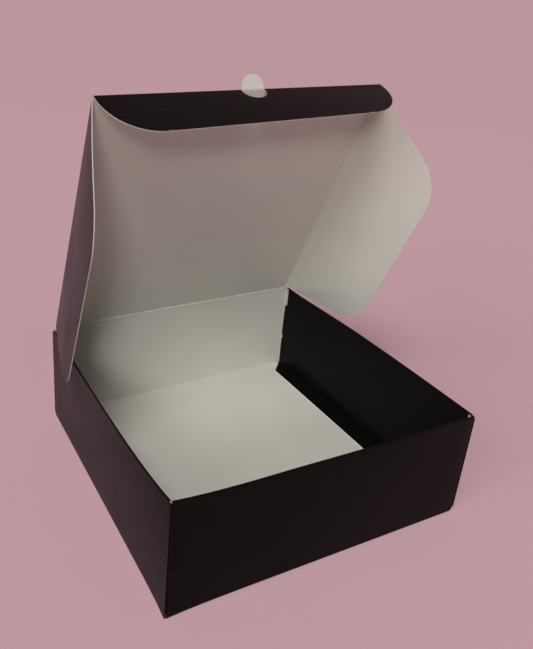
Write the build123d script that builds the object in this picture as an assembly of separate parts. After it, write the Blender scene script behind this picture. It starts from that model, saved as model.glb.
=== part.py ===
"""Roll-end tuck-top gift box of creased paperboard, standing open.

Millimetres. The origin is the middle of the base's underside, with X to the right, Y to the
back and Z up. The board is printed on one side: that side is the tray's outside, and it shows
again where the front and side walls are rolled over, on their inner panels and the side feet.
"""

import os

from build123d import *

# Overall sizes, over the board
box_width = 280.0
box_depth = 280.0
wall_height = 100.0

# Board, folds and the clearances between its layers
board = 0.8
fold_inside_radius = 0.6
layer_gap = 0.25
crease_gap = 0.05
fit_gap = 0.35

# Round corners of the base and of the four walls where they meet it
low_corner = 6.0

# Rolled side walls: each inner panel ends in a foot that lies on the base, and the rim stops
# short of the corners in a notch
foot_width = 13.0
foot_lift = 0.2
relief_depth = 3.5
relief_height = 22.0
nick_depth = 1.6
nick_height = 4.0
nick_above_base = 35.0
rim_notch = 2.6

# End tabs of the front and back walls, held inside the rolled side walls
tab_length = 92.0
tab_drop = 0.9
tab_taper = 5.0
tab_corner = 12.0

# Thumb tab in the lid's plane: its round end, and how far it stands out past the crease
thumb_radius = 11.8
thumb_reach = 13.8

# Lid ears, measured flat: the lift is how far they stop above the table when the lid is shut,
# and the lean is how far an end slopes in over the ear's height
ear_lift = 8.0
ear_hinge_setback = 3.5
ear_hinge_lean = 21.0
ear_hinge_corner = 31.0
ear_front_setback = 2.2
ear_front_lean = 54.0
ear_front_corner = 47.0

# Tuck flap, measured flat
flap_height = 48.5
flap_end_sweep = 43.0
flap_nick_depth = 1.3
flap_nick_width = 5.0

# How the box stands: the lid's angle from shut, and the flaps' angles from flat
lid_open = 64.5
ear_left_fold = 75.0
ear_right_fold = 64.0
flap_fold = 86.0

# Sizes that follow from those above
half_width = box_width / 2
half_depth = box_depth / 2
fold_radius = fold_inside_radius + board
side_roll = 3 * board + 2 * layer_gap
front_roll = 2 * board + layer_gap
side_rim_radius = side_roll / 2 - crease_gap
front_rim_radius = front_roll / 2 - crease_gap
inner_face = half_width - side_roll
tab_face = half_width - board - layer_gap
foot_top = 2 * board + foot_lift
knuckle = board / 2 + crease_gap
hinge_height = wall_height + knuckle
hinge_depth = half_depth - board / 2
ear_axis = inner_face - fit_gap - board / 2
ear_height = wall_height - ear_lift
panel_half = ear_axis - knuckle
lid_length = hinge_depth + half_depth - front_roll - fit_gap - board / 2


def folded_strip(printed_line, radii, plane, length):
    """A strip of board whose printed side follows a line, with the board to the line's left."""
    with BuildPart() as strip:
        with BuildSketch(plane):
            with BuildLine():
                FilletPolyline(*printed_line, radius=radii)
                offset(amount=board, side=Side.LEFT, closed=True)
            make_face()
        extrude(amount=length / 2, both=True)
    return strip.part


def block(x, y, z):
    """A box given by its low and high limits on each axis."""
    size = [high - low for low, high in (x, y, z)]
    middle = [(high + low) / 2 for low, high in (x, y, z)]
    return Pos(*middle) * Box(*size)


def low_corners(length):
    """A wall's outline from the base up, with the origin at the middle of its lower edge."""
    return Pos(0, wall_height) * RectangleRounded(length, 2 * wall_height, low_corner)


def side_wall_trim(end):
    """What is cut from both rolled side walls at the front (end -1) or the back (end 1)."""
    panel_end = half_depth - fit_gap - (front_roll if end < 0 else fold_radius)
    under_rim = wall_height - side_rim_radius
    under_foot = board + foot_lift / 2
    rolled = half_width - board - layer_gap / 2
    inner = inner_face + board + layer_gap / 2

    def slot(depth, reach, low, high):
        y = sorted((end * (panel_end - depth), end * half_depth))
        return block((-reach, reach), y, (low, high))

    trim = slot(0, rolled, under_foot, wall_height)
    trim += slot(0, half_width, wall_height - rim_notch, wall_height)
    trim += slot(relief_depth, inner, wall_height - relief_height, under_rim)
    trim += slot(nick_depth, inner, nick_above_base, nick_above_base + nick_height)

    # The feet's ends are mitred at 45 degrees.
    mitre = 2 * foot_width
    for side in (-1, 1):
        corners = [
            (side * inner_face, end * panel_end),
            (side * (inner_face - mitre), end * (panel_end - mitre)),
            (side * (inner_face - mitre), end * panel_end),
        ]
        wedge = extrude(make_face(Polyline(*corners, close=True)), amount=mitre, dir=(0, 0, 1))
        trim += Pos(0, 0, under_foot) * wedge
    return trim


def rolled_side_walls():
    """Outer panels, rims, inner panels and feet, folded up from a base with round corners."""
    right = [
        (half_width, 0),
        (half_width, wall_height),
        (inner_face, wall_height),
        (inner_face, foot_top),
        (inner_face - foot_width, foot_top),
    ]
    radii = [fold_radius, side_rim_radius, side_rim_radius, fold_inside_radius]
    left = [(-x, z) for x, z in reversed(right)]
    strip = folded_strip(left + right, radii[::-1] + radii, Plane.XZ, box_depth)

    # Past the base's ends the outer panels run on, to lap the corners of the end walls.
    side_view = low_corners(box_depth - fit_gap)
    strip &= extrude(Plane.YZ * side_view, amount=box_width, both=True)
    for end in (-1, 1):
        strip -= side_wall_trim(end)

    base_width = box_width - 2 * fold_radius
    base_depth = box_depth - 2 * fold_radius
    return strip + extrude(RectangleRounded(base_width, base_depth, low_corner), amount=board)


def end_walls():
    """Rolled front wall, base and back wall: one strip folded from front to back."""
    line = [
        (front_roll - half_depth, foot_top),
        (front_roll - half_depth, wall_height),
        (-half_depth, wall_height),
        (-half_depth, 0),
        (half_depth, 0),
        (half_depth, wall_height),
    ]
    radii = [front_rim_radius, front_rim_radius, fold_radius, fold_radius]
    return folded_strip(line, radii, Plane.YZ, 2 * (tab_face - fold_radius))


def end_tabs(end):
    """The wall at one end (-1 front, 1 back) with the two tabs folded back from its sides."""
    tab_tip = tab_length - half_depth
    line = [
        (-tab_face, tab_tip),
        (-tab_face, -half_depth),
        (tab_face, -half_depth),
        (tab_face, tab_tip),
    ]
    wall = Pos(0, 0, wall_height / 2) * folded_strip(line, fold_radius, Plane.XY, wall_height)

    # Seen from the side: a fold up to where the rims round over, then a tapered tongue.
    tab_top = wall_height - board - tab_drop
    tongue = FilletPolyline(
        (-half_depth, low_corner),
        (tab_tip, low_corner + tab_taper),
        (tab_tip, tab_top - tab_taper),
        (-half_depth, tab_top),
        radius=[0, tab_corner, tab_corner, 0],
        close=True,
    )
    fold_height = wall_height - front_rim_radius - fold_radius
    fold = Rectangle(fold_radius + crease_gap, fold_height, align=Align.MIN)
    side_view = make_face(tongue) + Pos(-half_depth, fold_radius) * fold
    wall &= extrude(Plane.YZ * side_view, amount=box_width, both=True)
    return wall if end < 0 else mirror(wall, Plane.XZ)


def folded_tray():
    """The tray, one piece of board with all four walls folded up from its base."""
    ends = end_walls() + end_tabs(-1) + end_tabs(1)
    ends &= extrude(Plane.XZ * low_corners(2 * tab_face), amount=box_depth, both=True)
    return rolled_side_walls() + ends


def plate(outline):
    """A flat panel cut to an outline, with its mid-plane at Z 0."""
    return extrude(outline, amount=board / 2, both=True)


def thumb_circle(clearance=0.0):
    """The thumb tab's round end, drawn about the lid's front crease with the lid towards +Y."""
    return Pos(0, thumb_radius - thumb_reach) * Circle(thumb_radius + clearance)


def lid_blank():
    """The lid panel lying shut, with its hinge line on the X axis and its front towards -Y."""
    length = lid_length - knuckle
    outline = Pos(0, -length / 2) * Rectangle(2 * panel_half, length)
    outline += Pos(0, -lid_length) * thumb_circle()
    return plate(outline) + Rot(Y=90) * Cylinder(board / 2, 2 * panel_half)


def ear_blank():
    """The right ear lying flat, with its crease on the Y axis and the lid's hinge line at Y 0."""
    back = -ear_hinge_setback
    front = ear_front_setback - lid_length
    outline = FilletPolyline(
        (0, back),
        (ear_height, back - ear_hinge_lean),
        (ear_height, front + ear_front_lean),
        (0, front),
        radius=[0, ear_hinge_corner, ear_front_corner, 0],
        close=True,
    )
    crease = Pos(0, (back + front) / 2) * Rot(X=90) * Cylinder(board / 2, back - front)
    return plate(make_face(outline)) + crease


def flap_blank():
    """The tuck flap lying flat, with its crease on the X axis and its free edge towards -Y."""
    straight = panel_half - flap_end_sweep
    outline = Rectangle(2 * straight, 2 * flap_height)
    for side in (-1, 1):
        outline += Pos(side * straight, 0) * Ellipse(flap_end_sweep, flap_height)
    outline &= Pos(0, -flap_height / 2) * Rectangle(2 * panel_half, flap_height)

    # A small nick in the free edge marks where each rounded end begins.
    for side in (-1, 1):
        nick = Polyline(
            (side * straight, -flap_height),
            (side * straight, flap_nick_depth - flap_height),
            (side * (straight - flap_nick_width), -flap_height),
            close=True,
        )
        outline -= make_face(nick)

    flap = plate(outline) + Rot(Y=90) * Cylinder(board / 2, 2 * panel_half)
    return flap - extrude(thumb_circle(fit_gap), amount=board, both=True)


lid_place = Pos(0, hinge_depth, hinge_height) * Rot(X=-lid_open)


def ear(side, fold):
    """The ear on the lid's left (side -1) or right (side 1), folded in from flat."""
    blank = ear_blank() if side > 0 else mirror(ear_blank(), Plane.YZ)
    return lid_place * Pos(side * ear_axis, 0) * Rot(Y=side * fold) * blank


parts = {
    "folded_tray": folded_tray(),
    "lid_panel": lid_place * lid_blank(),
    "lid_ear_left": ear(-1, ear_left_fold),
    "lid_ear_right": ear(1, ear_right_fold),
    "tuck_flap": lid_place * Pos(0, -lid_length) * Rot(X=flap_fold) * flap_blank(),
}

os.makedirs("parts", exist_ok=True)
for name, part in parts.items():
    part.label = name
    export_step(part, f"parts/{name}.step")
    print(name, "solids", len(part.solids()), "volume", round(part.volume))
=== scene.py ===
"""Open trunk gift box folded from creased board, black outside and white inside.

Lengths are millimetres while the board is cut and folded, and metres in the finished meshes.
X runs to the right, Y to the back and Z up, from the middle of the base's underside.
"""

import math

import bmesh
import bpy
from mathutils import Matrix, Vector


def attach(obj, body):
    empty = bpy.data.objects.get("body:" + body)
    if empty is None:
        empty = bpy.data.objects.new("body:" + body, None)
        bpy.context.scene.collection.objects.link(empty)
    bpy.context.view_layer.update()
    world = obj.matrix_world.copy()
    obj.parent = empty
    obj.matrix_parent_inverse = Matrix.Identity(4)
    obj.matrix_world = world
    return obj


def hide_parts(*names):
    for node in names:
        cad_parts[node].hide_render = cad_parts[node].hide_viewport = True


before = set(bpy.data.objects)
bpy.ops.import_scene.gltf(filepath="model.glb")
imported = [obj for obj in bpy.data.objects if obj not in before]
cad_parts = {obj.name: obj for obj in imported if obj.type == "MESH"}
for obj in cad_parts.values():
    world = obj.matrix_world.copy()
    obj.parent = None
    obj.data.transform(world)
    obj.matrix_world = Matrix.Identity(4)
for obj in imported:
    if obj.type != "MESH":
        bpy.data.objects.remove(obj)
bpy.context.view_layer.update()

MM = 0.001
QUARTER = math.pi / 2

# The blank's two directions, which become X and Y while it lies flat
U, V = 0, 1

# Places this close together on the blank count as one, and points this close to a line lie on it.
TOUCH = 0.01
ON_LINE = 0.001

# Board and folds
BOARD = 0.8
FOLD_INSIDE = 0.6
FOLD = BOARD + FOLD_INSIDE
LAYER_GAP = 0.25
CREASE_GAP = 0.05
FIT_GAP = 0.35

# Tray
HALF_WIDTH = 140.0
HALF_DEPTH = 140.0
WALL = 100.0
SIDE_ROLL = 3 * BOARD + 2 * LAYER_GAP
FRONT_ROLL = 2 * BOARD + LAYER_GAP
SIDE_RIM = SIDE_ROLL / 2 - CREASE_GAP
FRONT_RIM = FRONT_ROLL / 2 - CREASE_GAP
INNER_FACE = HALF_WIDTH - SIDE_ROLL
TAB_FACE = HALF_WIDTH - BOARD - LAYER_GAP
FOOT_LIFT = 0.2
FOOT_TOP = 2 * BOARD + FOOT_LIFT
FOOT_WIDTH = 15.0
LOW_CORNER = 6.0
RIM_NOTCH = 2.6

# Cut into each end of a side wall's inner panel: a relief under the rim, and a nick below it
RELIEF_DEPTH, RELIEF_HEIGHT = 3.5, 22.0
NICK_DEPTH, NICK_LOW, NICK_HIGH = 1.6, 35.0, 39.0

# End tabs: they stop short of the rim by a drop, and taper towards a tip with round corners.
TAB_LENGTH = 92.0
TAB_DROP = 0.9
TAB_TAPER = 5.0
TAB_CORNER = 12.0
TAB_TOP = WALL - BOARD - TAB_DROP
TAB_SHOULDER = TAB_TOP - 0.08
TAB_LOW, TAB_HIGH = LOW_CORNER + TAB_TAPER, TAB_TOP - TAB_TAPER

# Lid and tuck flap
HINGE = Vector((0, HALF_DEPTH - BOARD / 2, WALL + BOARD / 2 + CREASE_GAP))
EAR_AXIS = INNER_FACE - FIT_GAP - BOARD / 2
KNUCKLE = BOARD / 2 + CREASE_GAP
PANEL_HALF = EAR_AXIS - KNUCKLE
LID_LENGTH = HINGE.y + HALF_DEPTH - FRONT_ROLL - FIT_GAP - BOARD / 2
THUMB_RADIUS, THUMB_REACH, THUMB_SHIFT = 10.7, 12.8, 2.0
FLAP_HEIGHT = 48.5
FLAP_END = 43.0
FLAP_NICK_DEPTH, FLAP_NICK_WIDTH = 1.3, 5.0

# Ears: at each end, the setback of the root and the lean of the edge, then the rounded corner's
# radius and half angle in degrees
EAR_HEIGHT = 92.0
EAR_BACK, EAR_BACK_LEAN, EAR_BACK_CORNER = 3.5, 21.0, (31.0, 51.4)
EAR_FRONT, EAR_FRONT_LEAN, EAR_FRONT_CORNER = 2.2, 54.0, (47.0, 60.2)

# How the box stands open
LID_OPEN = math.radians(64.5)
EAR_LEFT_FOLD = math.radians(75.0)
EAR_RIGHT_FOLD = math.radians(64.0)
FLAP_FOLD = math.radians(86.0)

# How the used board has bent. The left (-1) and right (1) ears bow at the hinge end and the front
# end, the flap twists by degrees at its left and right ends, from a little past its crease, and
# the thumb tab bends back at the lid's crease and twice more, a step apart.
EAR_BOW = {-1: (6.0, 6.0), 1: (2.5, -2.5)}
EAR_BOW_POWER = 1.6
FLAP_TWIST = (4.5, -5.0)
FLAP_TWIST_FROM = 1.5
THUMB_BACK = math.radians(-38)
THUMB_BEND_STEP = 0.6

# How far the hand-folded walls stand out of true at the rim: the two front corners, and the bow of
# the left wall
LEFT_CORNER = Vector((2.0, 1.6, 2.4))
RIGHT_CORNER = Vector((1.9, -1.0, -1.2))
LEFT_BOW = 1.5

# The right wall leans out, less so in its middle, and bows out about a place on Y. The bow has a
# reach and a power towards the front and towards the back.
RIGHT_LEAN, RIGHT_DRAW, RIGHT_BOW = 0.9, 0.54, 4.0
BOW_MIDDLE, BOW_FRONT, BOW_BACK = 5, (145, 1), (108, 1.5)

# The front wall leans and bows out, and leans further from a place on X to a length right of it.
# At the right corner, the side wall holds back a share of that.
FRONT_LEAN, FRONT_BOW, FRONT_RIGHT_LEAN = 0.9, 0.5, 2.2
LEAN_FROM, LEAN_RISE, LEAN_HELD = -40, 100, 0.8

# The side walls' layers are pressed together from a height up, by a share of their depth.
PRESS_START, PRESS_RISE, PRESS_SHARE = 50, 40, 0.42

# The front left low corner closes over a span of both walls, which start a distance from the
# middle and rise from the base's top. Its foot is pushed to the left and to the front.
CORNER_SPAN, CORNER_WALL, CORNER_FLOOR = 24, 138, 1.7
FOOT_PUSH_LEFT, FOOT_PUSH_FRONT = 1.4, 1.6

# Spacing of the cuts that let a panel bow, and of those beside its root
PANEL_STEP, EAR_STEP, FLAP_STEP = 14, 10, 12
ROOT_CUTS = (0.5, 1.0)
FOLD_MARGIN = 0.4

# What stays straight between two roundings that would meet
ARC_GAP = 0.05

# The bevel of a crease's knuckle, and the angles in degrees up to which edges look smooth
KNUCKLE_ROUND = 0.3
SMOOTH_BELOW, KNUCKLE_SMOOTH_BELOW = 30, 75


# ---- Cutting and folding the board ----


def blank(*outlines):
    """A flat board with its printed side down, drawn as outlines that share their edges."""
    bm = bmesh.new()
    for outline in outlines:
        bm.faces.new([bm.verts.new((u, v, 0)) for u, v in outline])
    bmesh.ops.remove_doubles(bm, verts=bm.verts, dist=ON_LINE)
    return bm


def mirrored(outline):
    """An outline's mirror image to the left."""
    return [(-u, v) for u, v in reversed(outline)]


def to_front(outline):
    """A back outline's mirror image to the front."""
    return [(u, -v) for u, v in reversed(outline)]


def round_corner(bm, u, v, reach, segments=8):
    """Rounds one corner of a flat outline, starting the curve at a reach from the corner."""
    corner = [p for p in bm.verts if (p.co.xy - Vector((u, v))).length < TOUCH]
    bmesh.ops.bevel(
        bm,
        geom=corner,
        offset=reach,
        offset_type="ABSOLUTE",
        segments=segments,
        profile=0.5,
        affect="VERTICES",
        material=-1,
    )


def cut(bm, axis, places, within=None):
    """Cuts straight across the flat board at each place along an axis, U or V."""
    normal = Vector((1, 0, 0)) if axis == U else Vector((0, 1, 0))
    for place in places:
        faces = [f for f in bm.faces if within is None or within(f.calc_center_median())]
        edges = {e for f in faces for e in f.edges}
        verts = {p for f in faces for p in f.verts}
        bmesh.ops.bisect_plane(
            bm,
            geom=[*verts, *edges, *faces],
            dist=0.0001,
            plane_co=normal * place,
            plane_no=normal,
        )


def spread(low, high, step):
    """Evenly spaced places strictly between two limits."""
    count = max(1, round((high - low) / step))
    return [low + (high - low) * k / count for k in range(1, count)]


class Crease:
    """A fold across an axis, U or V, that bends the board beyond its start.

    A positive turn folds the board up to its white side. The radius is on the printed side.
    """

    def __init__(self, axis, side, start, turn, radius, within, steps=6):
        self.axis = axis
        self.side = side
        self.turn = math.radians(turn)
        self.within = within
        length = radius * abs(self.turn)
        self.places = [start + length * k / steps for k in range(steps + 1)]

    def score(self, bm):
        """Cuts the board where the fold bends, and just beside it."""
        beside = [self.places[0] - FOLD_MARGIN, self.places[-1] + FOLD_MARGIN]
        places = [self.side * place for place in [*self.places, *beside]]
        cut(bm, self.axis, places, lambda c: self.within(c.x, c.y))

    def bend(self, bm, flat):
        """Turns what lies beyond each cut a little further."""
        around = Vector((0, -self.side, 0)) if self.axis == U else Vector((self.side, 0, 0))
        moved = [p for p in bm.verts if self.within(flat[p.index].x, flat[p.index].y)]
        last = len(self.places) - 1
        for k, place in reversed(list(enumerate(self.places))):
            turn = self.turn / last / (2 if k in (0, last) else 1)
            centre = Vector((0, 0, 0))
            centre[self.axis] = self.side * place
            past = {True: [], False: []}
            for p in moved:
                beyond = self.side * flat[p.index][self.axis] - place
                if beyond > -ON_LINE:
                    past[beyond > ON_LINE].append(p)
            for whole, verts in past.items():
                matrix = Matrix.Rotation(turn if whole else turn / 2, 3, around)
                bmesh.ops.rotate(bm, cent=centre, matrix=matrix, verts=verts)


# The finishes' places in every piece's list of materials. The last is a lighter white, a painted
# highlight.
PRINTED, WHITE, EDGE, PAINTED_HIGHLIGHT = 0, 1, 2, 3


def creased(w):
    """The finish of an edge that is a crease, not a cut, at a depth in the board."""
    return PRINTED if w < BOARD / 2 else WHITE


def thicken(bm, edge_finish):
    """Gives the flat board its two plies, its finishes and its pattern map."""
    ply = list(bm.faces)
    for number in range(2):
        made = bmesh.ops.extrude_face_region(bm, geom=ply, use_keep_orig=number == 0)
        verts = [g for g in made["geom"] if isinstance(g, bmesh.types.BMVert)]
        ply = [g for g in made["geom"] if isinstance(g, bmesh.types.BMFace)]
        bmesh.ops.translate(bm, vec=(0, 0, BOARD / 2), verts=verts)
    bmesh.ops.recalc_face_normals(bm, faces=bm.faces)
    pattern = bm.loops.layers.uv.new("board")
    for face in bm.faces:
        middle = face.calc_center_median()
        if face.normal.z < -0.5:
            face.material_index = PRINTED
        elif face.normal.z > 0.5:
            face.material_index = WHITE
        else:
            face.material_index = edge_finish(*middle)
        face.smooth = True
        for loop in face.loops:
            u, v, w = loop.vert.co * MM
            loop[pattern].uv = (u, v + w if face.material_index == EDGE else v)
    for edge in bm.edges:
        edge.smooth = edge.calc_face_angle(0.0) < math.radians(SMOOTH_BELOW)


def round_root(bm, axis, place, side):
    """Rounds the creased edge at a place, so that it turns like a knuckle."""
    at_root = [p for p in bm.verts if abs(p.co[axis] - place) < TOUCH]
    middle = [p for p in at_root if abs(p.co.z - BOARD / 2) < TOUCH]
    push = Vector((0, 0, 0))
    push[axis] = side * BOARD / 2
    bmesh.ops.translate(bm, vec=push, verts=middle)
    nose = [e for e in bm.edges if all(p in middle for p in e.verts)]
    bmesh.ops.bevel(
        bm,
        geom=nose,
        offset=KNUCKLE_ROUND,
        offset_type="OFFSET",
        segments=3,
        profile=0.5,
        affect="EDGES",
        material=-1,
    )
    for face in bm.faces:
        middle = face.calc_center_median()
        if side * (middle[axis] - place) > 0 and abs(face.normal[1 - axis]) < 0.5:
            face.material_index = creased(middle.z)
            for edge in face.edges:
                if edge.calc_face_angle(0.0) < math.radians(KNUCKLE_SMOOTH_BELOW):
                    edge.smooth = True


def finished(name, bm, body, node):
    """The folded board as a piece that rides on its body and stands for its CAD node."""
    bmesh.ops.scale(bm, vec=(MM, MM, MM), verts=bm.verts)
    mesh = bpy.data.meshes.new(name)
    bm.to_mesh(mesh)
    bm.free()
    piece = bpy.data.objects.new(name, mesh)
    bpy.context.scene.collection.objects.link(piece)
    for material in (black_print, white_board, cut_edge, painted_highlight_white):
        mesh.materials.append(material)
    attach(piece, body)
    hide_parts(node)


# ---- Finishes ----


def new_material(name):
    """A material, its node tree and its surface shader."""
    material = bpy.data.materials.new(name)
    material.use_nodes = True
    tree = material.node_tree
    return material, tree, tree.nodes["Principled BSDF"]


def add(tree, kind, settings=None, **links):
    """Adds a node. Settings are its own properties; links and values go to its inputs.

    An input is given by its name, or by its number as i0, i1 and so on.
    """
    node = tree.nodes.new(kind)
    for name, value in (settings or {}).items():
        setattr(node, name, value)
    for name, value in links.items():
        socket = node.inputs[int(name[1:])] if name[0] == "i" and name[1:].isdigit() else None
        socket = socket or node.inputs[name.replace("_", " ")]
        if isinstance(value, bpy.types.NodeSocket):
            tree.links.new(value, socket)
        else:
            socket.default_value = value
    return node


def new_group(name, inputs, outputs):
    """A node group with named inputs and outputs."""
    group = bpy.data.node_groups.new(name, "ShaderNodeTree")
    for label, kind, value in inputs:
        socket = group.interface.new_socket(label, in_out="INPUT", socket_type=kind)
        socket.default_value = value
    for label, kind in outputs:
        group.interface.new_socket(label, in_out="OUTPUT", socket_type=kind)
    return group, group.nodes.new("NodeGroupInput"), group.nodes.new("NodeGroupOutput")


def make_fibre_group():
    """Paper fibres: soft mottling of tone and a fine felt-like height."""
    group, given, result = new_group(
        "board_fibre",
        [
            ("Tone", "NodeSocketColor", (0.5, 0.5, 0.5, 1)),
            ("Mottle", "NodeSocketFloat", 0.04),
            ("Grain Scale", "NodeSocketFloat", 900.0),
        ],
        [("Color", "NodeSocketColor"), ("Height", "NodeSocketFloat")],
    )
    place = add(group, "ShaderNodeTexCoord")
    cloudy = add(
        group, "ShaderNodeTexNoise", Vector=place.outputs["Object"], Scale=28.0, Detail=4.0
    )
    grain = add(
        group,
        "ShaderNodeTexNoise",
        Vector=place.outputs["Object"],
        Scale=given.outputs["Grain Scale"],
        Detail=3.0,
    )
    swing = add(
        group, "ShaderNodeMath", {"operation": "SUBTRACT"}, i0=cloudy.outputs["Fac"], i1=0.5
    )
    fine = add(
        group, "ShaderNodeMath", {"operation": "SUBTRACT"}, i0=grain.outputs["Fac"], i1=0.5
    )
    both = add(
        group,
        "ShaderNodeMath",
        {"operation": "MULTIPLY_ADD"},
        i0=fine.outputs[0],
        i1=0.35,
        i2=swing.outputs[0],
    )
    amount = add(
        group,
        "ShaderNodeMath",
        {"operation": "MULTIPLY_ADD"},
        i0=both.outputs[0],
        i1=given.outputs["Mottle"],
        i2=1.0,
    )
    tinted = add(
        group,
        "ShaderNodeVectorMath",
        {"operation": "SCALE"},
        i0=given.outputs["Tone"],
        Scale=amount.outputs[0],
    )
    group.links.new(tinted.outputs[0], result.inputs["Color"])
    group.links.new(grain.outputs["Fac"], result.inputs["Height"])
    return group


def make_rub_group():
    """Rubbing: long faint hairlines and soft smudges on a smooth print."""
    group, given, result = new_group(
        "print_rub",
        [("Smudge Scale", "NodeSocketFloat", 14.0)],
        [("Hairlines", "NodeSocketFloat"), ("Smudges", "NodeSocketFloat")],
    )
    place = add(group, "ShaderNodeTexCoord")
    skewed = add(
        group,
        "ShaderNodeMapping",
        Vector=place.outputs["UV"],
        Rotation=(0, 0, 0.4),
        Scale=(14.0, 900.0, 1.0),
    )
    lines = add(group, "ShaderNodeTexNoise", Vector=skewed.outputs[0], Scale=1.0, Detail=2.0)
    sharp = add(
        group,
        "ShaderNodeMapRange",
        Value=lines.outputs["Fac"],
        From_Min=0.66,
        From_Max=0.74,
    )
    patches = add(
        group, "ShaderNodeTexNoise", Vector=place.outputs["UV"], Scale=9.0, Detail=2.0
    )
    where = add(
        group,
        "ShaderNodeMapRange",
        Value=patches.outputs["Fac"],
        From_Min=0.5,
        From_Max=0.7,
    )
    hairs = add(
        group,
        "ShaderNodeMath",
        {"operation": "MULTIPLY"},
        i0=sharp.outputs[0],
        i1=where.outputs[0],
    )
    smudge = add(
        group,
        "ShaderNodeTexNoise",
        Vector=place.outputs["Object"],
        Scale=given.outputs["Smudge Scale"],
        Detail=3.0,
        Roughness=0.6,
    )
    group.links.new(hairs.outputs[0], result.inputs["Hairlines"])
    group.links.new(smudge.outputs["Fac"], result.inputs["Smudges"])
    return group


fibre_group = make_fibre_group()
rub_group = make_rub_group()


def make_paper(name, tone, mottle, grain, bump, roughness, specular=0.5):
    """Unprinted board: mottled fibre over a fine felt-like bump of a strength and distance."""
    material, tree, surface = new_material(name)
    fibre = add(tree, "ShaderNodeGroup", {"node_tree": fibre_group})
    fibre.inputs["Tone"].default_value = (*tone, 1)
    fibre.inputs["Mottle"].default_value = mottle
    fibre.inputs["Grain Scale"].default_value = grain
    felt = add(
        tree,
        "ShaderNodeBump",
        Height=fibre.outputs["Height"],
        Strength=bump[0],
        Distance=bump[1],
    )
    tree.links.new(fibre.outputs["Color"], surface.inputs["Base Color"])
    tree.links.new(felt.outputs["Normal"], surface.inputs["Normal"])
    surface.inputs["Roughness"].default_value = roughness
    surface.inputs["Specular IOR Level"].default_value = specular
    return material


def make_black_print():
    """The printed side: near-black ink under a smooth semi-gloss film."""
    material, tree, surface = new_material("black_print")
    rub = add(tree, "ShaderNodeGroup", {"node_tree": rub_group})
    fibre = add(tree, "ShaderNodeGroup", {"node_tree": fibre_group})
    fibre.inputs["Tone"].default_value = (0.0045, 0.0034, 0.0034, 1)
    fibre.inputs["Mottle"].default_value = 0.5
    fibre.inputs["Grain Scale"].default_value = 1100.0
    rubbed = add(
        tree,
        "ShaderNodeMix",
        {"data_type": "RGBA"},
        i0=rub.outputs["Hairlines"],
        i6=fibre.outputs["Color"],
        i7=(0.03, 0.027, 0.026, 1),
    )
    gloss = add(
        tree,
        "ShaderNodeMapRange",
        Value=rub.outputs["Smudges"],
        From_Min=0.3,
        From_Max=0.7,
        To_Min=0.25,
        To_Max=0.34,
    )
    dulled = add(
        tree,
        "ShaderNodeMath",
        {"operation": "MULTIPLY_ADD"},
        i0=rub.outputs["Hairlines"],
        i1=0.2,
        i2=gloss.outputs[0],
    )
    bump = add(
        tree,
        "ShaderNodeBump",
        Height=fibre.outputs["Height"],
        Strength=0.06,
        Distance=0.0001,
    )
    surface.inputs["Specular IOR Level"].default_value = 0.047
    tree.links.new(rubbed.outputs[2], surface.inputs["Base Color"])
    tree.links.new(dulled.outputs[0], surface.inputs["Roughness"])
    tree.links.new(bump.outputs["Normal"], surface.inputs["Normal"])
    return material


# The unprinted side: smooth coated white, a little warm
white_board = make_paper(
    "white_board", (0.60, 0.585, 0.52), 0.10, 1400.0, (0.12, 0.00015), roughness=0.5, specular=0.4
)

# Where the board is cut: bare, slightly darker layered fibre
cut_edge = make_paper("cut_edge", (0.47, 0.44, 0.38), 0.35, 2600.0, (0.4, 0.0002), roughness=0.85)

# The lid crease's ridge and the feet's crisp edges: a lighter white than the board, a painted
# highlight where the white catches the light
painted_highlight_white = make_paper(
    "painted_highlight_white", (0.88, 0.86, 0.78), 0.15, 1800.0, (0.15, 0.0001), roughness=0.4
)

black_print = make_black_print()


# ---- Tray ----

# Places on the flat blank, measured out from the middle of the base
BEND_START = HALF_WIDTH - FOLD
STRIP_HALF = TAB_FACE - FOLD
RIM_FLAT = 2 * CREASE_GAP
WALL_START = BEND_START + FOLD * QUARTER
SIDE_TOP = WALL_START + WALL - FOLD - SIDE_RIM
RIM_STEP = SIDE_TOP + SIDE_RIM - RIM_NOTCH
SIDE_DROP = SIDE_TOP + 2 * SIDE_RIM * QUARTER + RIM_FLAT
FOOT_START = SIDE_DROP + WALL - SIDE_RIM - FOOT_TOP - FOLD_INSIDE
FOOT_FLAT = FOOT_START + FOLD_INSIDE * QUARTER
FOOT_END = FOOT_FLAT + FOOT_WIDTH - FOLD_INSIDE
FRONT_TOP = WALL_START + WALL - FOLD - FRONT_RIM
FRONT_DROP = FRONT_TOP + 2 * FRONT_RIM * QUARTER + RIM_FLAT
FRONT_END = FRONT_DROP + WALL - FRONT_RIM - FOOT_TOP
BACK_TOP = WALL_START + WALL - FOLD
STRIP_FOOT = LOW_CORNER - math.sqrt(LOW_CORNER**2 - (STRIP_HALF - TAB_FACE + LOW_CORNER) ** 2)
PANEL_FRONT = HALF_DEPTH - FIT_GAP - FRONT_ROLL
PANEL_BACK = HALF_DEPTH - FIT_GAP - FOLD
OUTER_END = HALF_DEPTH - FIT_GAP / 2
TAB_FROM = OUTER_END + 0.1
TAB_FOLD_END = STRIP_HALF + FOLD * QUARTER
TAB_TIP = TAB_FOLD_END + TAB_LENGTH - FOLD

# Heights at which the walls' round low ends are drawn, with one of them on the tabs' folds too
TAB_STEP = 3.6
LOW_END_STEPS = (0.45, FOLD, 2.2, TAB_STEP, LOW_CORNER)

# Where the finish changes: the black wall ends and corners, painted shade where the white would
# show in the corner gaps and grooves, and the left rim's rubbed rear tip
BLACK_END = OUTER_END - 1.7
CORNER_LIMIT = HALF_WIDTH + LOW_CORNER
FRONT_CORNER = 5
RUBBED_FROM = PANEL_BACK - 2.4
RUBBED_MARGIN = 1


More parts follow.
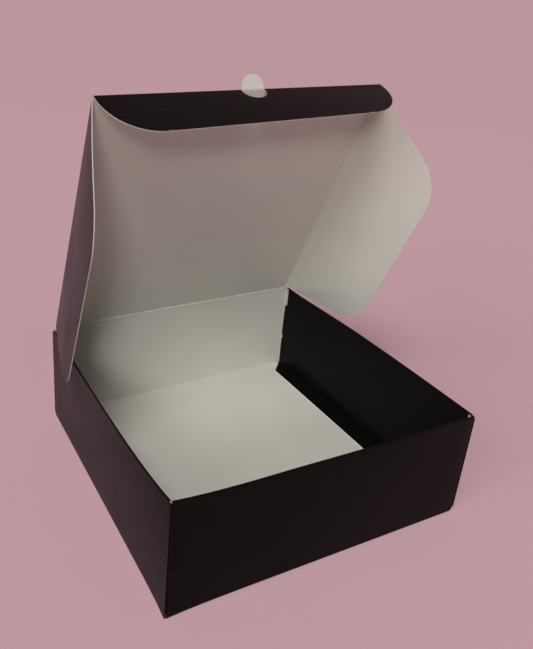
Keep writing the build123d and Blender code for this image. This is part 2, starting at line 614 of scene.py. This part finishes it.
def up_blank(z):
    """How far out on the flat blank a height on a wall lies, round the fold at its foot."""
    if z < FOLD:
        return BEND_START + FOLD * math.acos(1 - z / FOLD)
    return WALL_START + z - FOLD


def corner_reach(end, z):
    """How far a wall reaches towards its end at a height within its round low corner."""
    return end - LOW_CORNER + math.sqrt(LOW_CORNER**2 - (LOW_CORNER - z) ** 2)


def outer_panel():
    """The right wall's outer panel, up to where its rim is notched at the ends."""
    back = [(BEND_START, BEND_START - LOW_CORNER)]
    back += [(up_blank(z), corner_reach(OUTER_END, z)) for z in LOW_END_STEPS]
    front = [(u, -v) for u, v in back]
    return [
        *front,
        (RIM_STEP, -OUTER_END),
        (RIM_STEP, -PANEL_FRONT),
        (RIM_STEP, PANEL_BACK),
        (RIM_STEP, OUTER_END),
        *back[::-1],
    ]


def inner_panel_end(end, sign):
    """One end of the right wall's inner panel and foot, from the rim down."""
    drop = SIDE_DROP + WALL - SIDE_RIM
    relief = drop - WALL + RELIEF_HEIGHT
    return [
        (RIM_STEP, sign * end),
        (SIDE_DROP, sign * end),
        (SIDE_DROP, sign * (end - RELIEF_DEPTH)),
        (relief, sign * (end - RELIEF_DEPTH)),
        (relief, sign * end),
        (drop - NICK_HIGH, sign * end),
        (drop - NICK_HIGH, sign * (end - NICK_DEPTH)),
        (drop - NICK_LOW, sign * (end - NICK_DEPTH)),
        (drop - NICK_LOW, sign * end),
        (FOOT_START, sign * end),
        (FOOT_FLAT, sign * (end - FOLD_INSIDE)),
        (FOOT_END, sign * (end - FOOT_WIDTH)),
    ]


def tab_outline():
    """The tab at the back wall's right end: a full-height fold, then a tapered tongue."""
    root = TAB_FOLD_END + CREASE_GAP
    corner_out = corner_reach(TAB_FACE, TAB_STEP) - STRIP_HALF
    return [
        (STRIP_HALF, up_blank(STRIP_FOOT)),
        (STRIP_HALF + FOLD * math.asin(corner_out / FOLD), up_blank(TAB_STEP)),
        (TAB_FOLD_END, up_blank(LOW_CORNER)),
        (root, up_blank(LOW_CORNER)),
        (TAB_TIP, up_blank(TAB_LOW)),
        (TAB_TIP, up_blank(TAB_HIGH)),
        (root, up_blank(TAB_SHOULDER)),
        (root, FRONT_TOP),
        (STRIP_HALF, FRONT_TOP),
    ]


def end_wall():
    """The back wall between its tabs, up to where the front wall's rim would begin."""
    right = [(BEND_START - LOW_CORNER, BEND_START)]
    right += [(corner_reach(TAB_FACE, z), up_blank(z)) for z in (*LOW_END_STEPS[:2], STRIP_FOOT)]
    right.append((STRIP_HALF, FRONT_TOP))
    return right + mirrored(right)


def tray_edge(u, v, w):
    """What the tray's edges show: creases, black ends painted as shade in the corner grooves, the
    feet's edges painted bright as a highlight, or fibre.
    """
    if v > BACK_TOP - TOUCH:
        return creased(w)
    # The feet's cut edges take the lighter white, a painted highlight.
    if abs(u) > FOOT_FLAT + TOUCH:
        return PAINTED_HIGHLIGHT
    # The front ends of the rims are painted black, as shade in the corner grooves.
    if v < 0 and RIM_STEP - TOUCH < abs(u) < SIDE_TOP + SIDE_RIM * QUARTER:
        return PRINTED
    if abs(abs(u) - STRIP_HALF) < TOUCH and FRONT_TOP < -v < FRONT_DROP:
        return PRINTED
    # Edges at the corners and the outer panels' ends are painted black too, as shade in the
    # grooves there.
    near, far = sorted((abs(u), abs(v)))
    at_corner = near > BEND_START - LOW_CORNER and far < CORNER_LIMIT
    return PRINTED if at_corner or abs(abs(v) - OUTER_END) < TOUCH else EDGE


def tray_blank():
    """The tray's cross-shaped blank, with the round corners of its base and tabs."""
    base = [
        (-BEND_START, -BEND_START),
        (BEND_START, -BEND_START),
        (BEND_START, BEND_START),
        (-BEND_START, BEND_START),
    ]
    inner = inner_panel_end(PANEL_FRONT, -1) + inner_panel_end(PANEL_BACK, 1)[::-1]
    tab = tab_outline()
    wall = end_wall()
    back_top = [
        (-STRIP_HALF, FRONT_TOP),
        (STRIP_HALF, FRONT_TOP),
        (STRIP_HALF, BACK_TOP),
        (-STRIP_HALF, BACK_TOP),
    ]
    front_inner = [
        (-STRIP_HALF, -FRONT_END),
        (STRIP_HALF, -FRONT_END),
        (STRIP_HALF, -FRONT_TOP),
        (-STRIP_HALF, -FRONT_TOP),
    ]
    bm = blank(
        base,
        outer_panel(),
        mirrored(outer_panel()),
        inner,
        mirrored(inner),
        wall,
        to_front(wall),
        tab,
        mirrored(tab),
        to_front(tab),
        to_front(mirrored(tab)),
        back_top,
        front_inner,
    )
    for side in (-1, 1):
        for end in (-1, 1):
            round_corner(bm, side * BEND_START, end * BEND_START, LOW_CORNER)
            round_corner(bm, side * TAB_TIP, end * up_blank(TAB_LOW), TAB_CORNER)
            round_corner(bm, side * TAB_TIP, end * up_blank(TAB_HIGH), TAB_CORNER)
    bmesh.ops.remove_doubles(bm, verts=bm.verts, dist=0.005)
    return bm


def on_side(side):
    """A test for the places on the blank that belong to one side wall."""
    return lambda u, v: side * u > BEND_START - TOUCH and abs(v) < OUTER_END + TOUCH


def on_tab(side, end):
    """A test for the places on the blank that belong to one end tab."""
    return lambda u, v: side * u > STRIP_HALF - TOUCH and end * v > WALL_START - TOUCH


def on_end(end):
    """A test for the places that belong to the front (-1) or back (1) wall and its tabs."""

    def within(u, v):
        past_side_wall = abs(u) < STRIP_HALF + TOUCH or end * v > TAB_FROM
        return end * v > BEND_START - TOUCH and past_side_wall

    return within


def tray_creases():
    """The tray's folds, in the order in which they are made."""
    creases = []
    front_second_rim = FRONT_TOP + FRONT_RIM * QUARTER + RIM_FLAT
    for side in (-1, 1):
        second_rim = SIDE_TOP + SIDE_RIM * QUARTER + RIM_FLAT
        creases += [
            Crease(U, side, FOOT_START, -90, FOLD_INSIDE, on_side(side), 4),
            Crease(U, side, second_rim, 90, SIDE_RIM, on_side(side)),
            Crease(U, side, SIDE_TOP, 90, SIDE_RIM, on_side(side)),
            Crease(U, side, BEND_START, 90, FOLD, on_side(side)),
            Crease(U, side, STRIP_HALF, 90, FOLD, on_tab(side, -1)),
            Crease(U, side, STRIP_HALF, 90, FOLD, on_tab(side, 1)),
        ]
    return [
        *creases,
        Crease(V, -1, front_second_rim, 90, FRONT_RIM, on_end(-1)),
        Crease(V, -1, FRONT_TOP, 90, FRONT_RIM, on_end(-1)),
        Crease(V, -1, BEND_START, 90, FOLD, on_end(-1)),
        Crease(V, 1, BEND_START, 90, FOLD, on_end(1)),
    ]


def cut_up_tray(bm):
    """Cuts the panels so that they can bow, and where their finish changes."""
    cut(bm, U, spread(-STRIP_HALF, STRIP_HALF, PANEL_STEP))
    for side in (-1, 1):
        for low, high in ((WALL_START, SIDE_TOP), (SIDE_DROP, FOOT_START)):
            cut(bm, U, [side * u for u in spread(low, high, PANEL_STEP)])
        for low, high in ((WALL_START, FRONT_TOP), (FRONT_DROP, FRONT_END)):
            cut(bm, V, [side * v for v in spread(low, high, PANEL_STEP)])
    cut(bm, V, spread(-BEND_START, BEND_START, PANEL_STEP))
    for end in (-1, 1):
        cut(bm, V, [end * BLACK_END], lambda c: WALL_START < abs(c.x) < RIM_STEP)
    rim = SIDE_TOP - RUBBED_MARGIN, SIDE_DROP + RUBBED_MARGIN
    cut(bm, V, [RUBBED_FROM], lambda c: rim[0] < -c.x < rim[1])


def paint_corner_shade_and_wear(bm):
    """Blackens the white side where it would show outside, as painted shade in the corner gaps,
    and bares the left rim's rear tip.
    """
    for face in bm.faces:
        middle = face.calc_center_median()
        near, far = sorted((abs(middle.x), abs(middle.y)))
        on_wall = WALL_START < abs(middle.x) < RIM_STEP
        on_wall_end = on_wall and BLACK_END < abs(middle.y) < OUTER_END
        # The white of the front corners would show outside, so it is blackened as painted shade.
        # That of the back ones is seen inside.
        margin = FRONT_CORNER if middle.y < 0 else TOUCH
        in_corner = near > BEND_START - margin and far < CORNER_LIMIT
        if middle.z > BOARD - TOUCH and (on_wall_end or in_corner):
            face.material_index = PRINTED
        if SIDE_TOP - FOLD_MARGIN < -middle.x < SIDE_DROP and middle.y > RUBBED_FROM:
            face.material_index = EDGE


def fold_tray():
    """The whole tray: one cross-shaped blank, scored and folded up."""
    bm = tray_blank()
    creases = tray_creases()
    for crease in creases:
        crease.score(bm)
    cut_up_tray(bm)
    thicken(bm, tray_edge)
    paint_corner_shade_and_wear(bm)
    bm.verts.index_update()
    flat = [p.co.copy() for p in bm.verts]
    for crease in creases:
        crease.bend(bm, flat)
    for p in bm.verts:
        settle_tray(p.co)
    return bm


def press_layers(co):
    """Presses a side wall's layers together towards its rim."""
    if abs(co.x) > INNER_FACE - CREASE_GAP and co.z > PRESS_START:
        kept = 1 - PRESS_SHARE * min(1, (co.z - PRESS_START) / PRESS_RISE)
        co.x = math.copysign(HALF_WIDTH - (HALF_WIDTH - abs(co.x)) * kept, co.x)


def close_low_corner(co):
    """Draws the walls' round low ends together at the front left corner."""
    gap = LOW_CORNER - math.sqrt(max(0, LOW_CORNER**2 - max(0, LOW_CORNER - co.z) ** 2))
    near_front = max(0, (CORNER_SPAN - HALF_DEPTH - co.y) / (CORNER_SPAN - gap))
    near_side = max(0, (CORNER_SPAN - HALF_WIDTH - co.x) / (CORNER_SPAN - gap))
    if co.x < -CORNER_WALL:
        co.y -= max(0, min(gap * near_front, co.y + HALF_DEPTH))
    # Above the base, the front wall's inner layer stays.
    if co.y < -CORNER_WALL - (co.z > CORNER_FLOOR):
        co.x -= max(0, min(gap * near_side, co.x + HALF_WIDTH))


def settle_tray(co):
    """Springs the tray's walls a little out of true, as folded board stands."""
    press_layers(co)
    rise = max(0.0, co.z / WALL)
    along = 1 - (co.y / HALF_DEPTH) ** 2
    across = 1 - (co.x / HALF_WIDTH) ** 2
    side = min(1, abs(co.x) / INNER_FACE)
    front = max(0.0, -co.y / HALF_DEPTH)
    corner = rise * (side * front) ** 4
    if co.x < 0 and co.y < 0:
        close_low_corner(co)
        foot = (side * front) ** 8 * (1 - rise)
        co.x -= FOOT_PUSH_LEFT * foot
        co.y -= FOOT_PUSH_FRONT * foot
    if co.x < 0:
        co += LEFT_CORNER * corner
        co.x -= LEFT_BOW * rise * along * side**4
    else:
        # The bow fades out before the hinge, where the right ear swings past.
        reach, power = BOW_FRONT if co.y < BOW_MIDDLE else BOW_BACK
        bow = RIGHT_BOW * max(0, 1 - ((co.y - BOW_MIDDLE) / reach) ** 2) ** power
        co.x += rise * side**4 * (RIGHT_LEAN - RIGHT_DRAW * along + bow)
        co += RIGHT_CORNER * corner
    right = min(1, max(0, (co.x - LEAN_FROM) / LEAN_RISE)) * (1 - LEAN_HELD * side**8)
    lean = FRONT_LEAN + FRONT_BOW * across + FRONT_RIGHT_LEAN * right
    co.y -= rise * lean * front**4


finished("folded_box_tray", fold_tray(), "tray", "folded_tray")


# ---- Lid, ears and tuck flap ----

lid_along = Vector((0, -math.cos(LID_OPEN), math.sin(LID_OPEN)))
lid_inward = Vector((0, -math.sin(LID_OPEN), -math.cos(LID_OPEN)))
lid_place = Matrix.Translation(HINGE) @ Matrix(
    ((1, 0, 0), (0, lid_along.y, lid_inward.y), (0, lid_along.z, lid_inward.z))
).to_4x4()
MID_PLY = Matrix.Translation((0, 0, -BOARD / 2))

# The ridge along the lid's crease: its crown and its whole width, how much it stands up, and a
# cut behind it
BEAD_CROWN, BEAD_WIDTH, BEAD_RISE, BEAD_BEHIND = 0.5, 1.1, 3, 1.6


def lay_lid():
    """The lid's panel with its thumb tab, flat and then swung up on its hinge."""
    front = LID_LENGTH - KNUCKLE
    tip = LID_LENGTH + THUMB_REACH
    thumb_left, thumb_right = THUMB_SHIFT - THUMB_RADIUS, THUMB_SHIFT + THUMB_RADIUS
    panel = [
        (-PANEL_HALF, 0),
        (PANEL_HALF, 0),
        (PANEL_HALF, front),
        (thumb_right, front),
        (thumb_left, front),
        (-PANEL_HALF, front),
    ]
    thumb = [(thumb_left, front), (thumb_right, front), (thumb_right, tip), (thumb_left, tip)]
    bm = blank(panel, thumb)
    for u in (thumb_left, thumb_right):
        round_corner(bm, u, tip, THUMB_RADIUS - ARC_GAP, 12)
    cut(bm, U, spread(-PANEL_HALF, PANEL_HALF, PANEL_STEP))
    cut(bm, V, [BEAD_CROWN, BEAD_WIDTH, BEAD_BEHIND, *spread(0, front, PANEL_STEP)])
    cut(bm, V, [front + THUMB_BEND_STEP * number for number in (1, 2, 3)])

    def lid_edge(u, v, w):
        folded = v < front - TOUCH or abs(u - THUMB_SHIFT) > THUMB_RADIUS + TOUCH
        return creased(w) if folded and v < front + TOUCH else EDGE

    thicken(bm, lid_edge)
    round_root(bm, V, 0, -1)
    at_crown = [p for p in bm.verts if p.co.y < BEAD_CROWN + TOUCH]
    crown = [p for p in at_crown if p.co.z > BOARD / 2 + TOUCH]
    bmesh.ops.scale(bm, vec=(1, 1, BEAD_RISE), space=MID_PLY, verts=crown)
    for face in bm.faces:
        # The white faces of the crease's ridge take the lighter white, a painted highlight along
        # the crease.
        if face.material_index == WHITE and face.calc_center_median().y < BEAD_WIDTH:
            face.material_index = PAINTED_HIGHLIGHT
    flat = [(p, p.co.y) for p in bm.verts]
    for place in (front + THUMB_BEND_STEP * number for number in (2, 1, 0)):
        bmesh.ops.rotate(
            bm,
            cent=(0, place, BOARD / 2),
            matrix=Matrix.Rotation(THUMB_BACK / 3, 3, "X"),
            verts=[p for p, v in flat if v > place + TOUCH],
        )
    bmesh.ops.transform(bm, matrix=lid_place @ MID_PLY, verts=bm.verts)
    return bm


def rounding_reach(radius, half_angle):
    """How far from a corner of a half angle in degrees its rounding starts."""
    return radius / math.tan(math.radians(half_angle))


def lay_ear(side, fold):
    """An ear with its root rounded at the crease, folded in towards the lid's white side."""
    front = LID_LENGTH - EAR_FRONT
    low, high = EAR_BACK + EAR_BACK_LEAN, front - EAR_FRONT_LEAN
    bm = blank([(0, EAR_BACK), (EAR_HEIGHT, low), (EAR_HEIGHT, high), (0, front)])
    round_corner(bm, EAR_HEIGHT, low, rounding_reach(*EAR_BACK_CORNER), 12)
    round_corner(bm, EAR_HEIGHT, high, rounding_reach(*EAR_FRONT_CORNER), 14)
    cut(bm, U, [*ROOT_CUTS, *spread(0, EAR_HEIGHT, EAR_STEP)])
    cut(bm, V, spread(EAR_BACK, front, PANEL_STEP))
    thicken(bm, lambda u, v, w: creased(w) if u < TOUCH else EDGE)
    round_root(bm, U, 0, -1)
    back_bow, front_bow = EAR_BOW[side]
    for p in bm.verts:
        bow = back_bow + (front_bow - back_bow) * p.co.y / front
        p.co.z += bow * max(0, p.co.x / EAR_HEIGHT) ** EAR_BOW_POWER
    if side < 0:
        bmesh.ops.scale(bm, vec=(-1, 1, 1), verts=bm.verts)
        bmesh.ops.reverse_faces(bm, faces=bm.faces)
    turn = Matrix.Rotation(-side * fold, 4, "Y")
    place = lid_place @ Matrix.Translation((side * EAR_AXIS, 0, 0)) @ turn @ MID_PLY
    bmesh.ops.transform(bm, matrix=place, verts=bm.verts)
    return bm


def add_flap_end(bm, side, straight):
    """Joins a quarter-round end to the flap, made aside from it and then moved into place."""
    aside = 500
    nearly_all = 0.999
    end = [(0, 0), (1, 0), (1, 1), (0, 1)]
    end = end if side > 0 else mirrored(end)
    bm.faces.new([bm.verts.new((u + side * aside, v, 0)) for u, v in end])
    round_corner(bm, side * (aside + 1), 1, nearly_all, 16)
    moved = [p for p in bm.verts if abs(p.co.x) > PANEL_HALF + TOUCH]
    bmesh.ops.translate(bm, vec=(-side * aside, 0, 0), verts=moved)
    bmesh.ops.scale(bm, vec=(FLAP_END, FLAP_HEIGHT, 1), verts=moved)
    bmesh.ops.translate(bm, vec=(side * straight, 0, 0), verts=moved)


def lay_flap():
    """The tuck flap: round ends, two small nicks, and the cut-out left by the thumb tab."""
    straight = PANEL_HALF - FLAP_END
    nick = FLAP_HEIGHT - FLAP_NICK_DEPTH
    radius = THUMB_RADIUS + FIT_GAP
    notch = THUMB_REACH + FIT_GAP
    notch_left, notch_right = THUMB_SHIFT - radius, THUMB_SHIFT + radius
    bm = blank(
        [
            (-straight, 0),
            (notch_left, 0),
            (notch_left, notch),
            (notch_right, notch),
            (notch_right, 0),
            (straight, 0),
            (straight, nick),
            (straight - FLAP_NICK_WIDTH, FLAP_HEIGHT),
            (FLAP_NICK_WIDTH - straight, FLAP_HEIGHT),
            (-straight, nick),
        ]
    )
    for u in (notch_left, notch_right):
        round_corner(bm, u, notch, radius - ARC_GAP, 10)
    for side in (-1, 1):
        add_flap_end(bm, side, straight)
    cut(bm, V, [nick], lambda c: abs(c.x) > straight)
    cut(bm, U, spread(-straight, straight, PANEL_STEP))
    cut(bm, V, [*ROOT_CUTS, *spread(0, FLAP_HEIGHT, FLAP_STEP)])
    bmesh.ops.remove_doubles(bm, verts=bm.verts, dist=TOUCH)
    thicken(bm, lambda u, v, w: creased(w) if v < TOUCH else EDGE)
    round_root(bm, V, 0, -1)
    left, right = FLAP_TWIST
    for p in bm.verts:
        twist = left + (right - left) * (p.co.x + PANEL_HALF) / (2 * PANEL_HALF)
        p.co.z += max(0, p.co.y - FLAP_TWIST_FROM) * math.radians(twist)
    turn = Matrix.Rotation(FLAP_FOLD, 4, "X")
    place = lid_place @ Matrix.Translation((0, LID_LENGTH, 0)) @ turn @ MID_PLY
    bmesh.ops.transform(bm, matrix=place, verts=bm.verts)
    return bm


finished("lid_with_thumb_tab", lay_lid(), "lid", "lid_panel")
finished("left_lid_ear", lay_ear(-1, EAR_LEFT_FOLD), "ear_left", "lid_ear_left")
finished("right_lid_ear", lay_ear(1, EAR_RIGHT_FOLD), "ear_right", "lid_ear_right")
finished("front_tuck_flap", lay_flap(), "flap", "tuck_flap")


# ---- Floor, light and camera ----


# The far floor's tone, and how far the floor lies under the feet of the box, in metres
BACKDROP = (0.49, 0.305, 0.335, 1)
FLOOR_DROP = 0.0003


def seen_directly(tree):
    """One for rays that show the backdrop: from the camera, by gloss or through glass."""
    ray = add(tree, "ShaderNodeLightPath")
    seen = ray.outputs["Is Camera Ray"]
    for label in ("Is Glossy Ray", "Is Transmission Ray"):
        either = add(
            tree, "ShaderNodeMath", {"operation": "MAXIMUM"}, i0=seen, i1=ray.outputs[label]
        )
        seen = either.outputs[0]
    return seen


def make_floor():
    """A plain pale floor that keeps its tone far behind the box."""
    material, tree, surface = new_material("pale_floor")
    place = add(tree, "ShaderNodeTexCoord")
    cloudy = add(
        tree, "ShaderNodeTexNoise", Vector=place.outputs["Object"], Scale=1.5, Detail=2.0
    )
    tone = add(
        tree,
        "ShaderNodeMix",
        {"data_type": "RGBA"},
        i0=cloudy.outputs["Fac"],
        i6=(0.63, 0.385, 0.43, 1),
        i7=(0.67, 0.415, 0.46, 1),
    )
    tree.links.new(tone.outputs[2], surface.inputs["Base Color"])
    surface.inputs["Roughness"].default_value = 0.7
    distance = add(
        tree, "ShaderNodeVectorMath", {"operation": "LENGTH"}, i0=place.outputs["Object"]
    )
    far = add(
        tree,
        "ShaderNodeMapRange",
        {"interpolation_type": "SMOOTHSTEP"},
        Value=distance.outputs["Value"],
        From_Min=0.6,
        From_Max=3.0,
    )
    amount = add(
        tree,
        "ShaderNodeMath",
        {"operation": "MULTIPLY"},
        i0=seen_directly(tree),
        i1=far.outputs[0],
    )
    glow = add(tree, "ShaderNodeEmission", Color=BACKDROP, Strength=1.0)
    blend = add(
        tree,
        "ShaderNodeMixShader",
        i0=amount.outputs[0],
        i1=surface.outputs[0],
        i2=glow.outputs[0],
    )
    tree.links.new(blend.outputs[0], tree.nodes["Material Output"].inputs["Surface"])
    bm = bmesh.new()
    bmesh.ops.create_circle(bm, cap_ends=True, segments=96, radius=30)
    bmesh.ops.translate(bm, vec=(0, 0, -FLOOR_DROP), verts=bm.verts)
    mesh = bpy.data.meshes.new("floor")
    bm.to_mesh(mesh)
    bm.free()
    mesh.materials.append(material)
    floor = bpy.data.objects.new("floor", mesh)
    bpy.context.scene.collection.objects.link(floor)


def soft_light(name, direction, spread_angle, strength):
    """A soft, even light from one direction, spread over an angle in degrees."""
    light = bpy.data.lights.new(name, "SUN")
    light.energy = strength
    light.angle = math.radians(spread_angle)
    lamp = bpy.data.objects.new(name, light)
    towards = Vector(direction).normalized()
    lamp.location = towards * 2
    lamp.rotation_mode = "QUATERNION"
    lamp.rotation_quaternion = towards.to_track_quat("Z", "Y")
    bpy.context.scene.collection.objects.link(lamp)


def make_studio():
    """Faint all-round light, behind a pale backdrop like the far floor."""
    world = bpy.data.worlds.new("studio")
    world.use_nodes = True
    tree = world.node_tree
    fill = tree.nodes["Background"]
    fill.inputs["Color"].default_value = (0.66, 0.60, 0.60, 1)
    fill.inputs["Strength"].default_value = 0.07
    backdrop = add(tree, "ShaderNodeBackground", Color=BACKDROP, Strength=1.0)
    blend = add(
        tree,
        "ShaderNodeMixShader",
        i0=seen_directly(tree),
        i1=fill.outputs[0],
        i2=backdrop.outputs[0],
    )
    tree.links.new(blend.outputs[0], tree.nodes["World Output"].inputs["Surface"])
    return world


def aim_camera(place, azimuth, elevation, roll):
    """The photograph's camera, at its place in metres and turned to its angles in degrees."""
    lens = bpy.data.cameras.new("camera")
    lens.lens = 39.966
    lens.sensor_width = 36
    lens.shift_x = 0.1249
    lens.shift_y = -0.1311
    lens.clip_start = 0.01
    lens.clip_end = 100
    camera = bpy.data.objects.new("camera", lens)
    bpy.context.scene.collection.objects.link(camera)
    azimuth, elevation, roll = (math.radians(a) for a in (azimuth, elevation, roll))
    back = Vector(
        (
            math.sin(azimuth) * math.cos(elevation),
            -math.cos(azimuth) * math.cos(elevation),
            math.sin(elevation),
        )
    )
    right = (-back).cross(Vector((0, 0, 1))).normalized()
    up = right.cross(-back)
    right_rolled = math.cos(roll) * right + math.sin(roll) * up
    up_rolled = math.cos(roll) * up - math.sin(roll) * right
    turn = Matrix((right_rolled, up_rolled, back)).transposed().to_4x4()
    camera.matrix_world = Matrix.Translation(place) @ turn
    return camera


make_floor()
soft_light("front_light", (-0.454, -0.78, 0.432), spread_angle=13, strength=0.82)
soft_light("high_light", (-0.33, -0.48, 0.81), spread_angle=24, strength=1.92)
soft_light("side_light", (-0.88, -0.2, 0.43), spread_angle=40, strength=0.9)

scene = bpy.context.scene
scene.world = make_studio()
scene.view_settings.view_transform = "Standard"
scene.camera = aim_camera(
    (-0.31238, -0.49443, 0.43949), azimuth=-26.601, elevation=20.349, roll=2.165
)
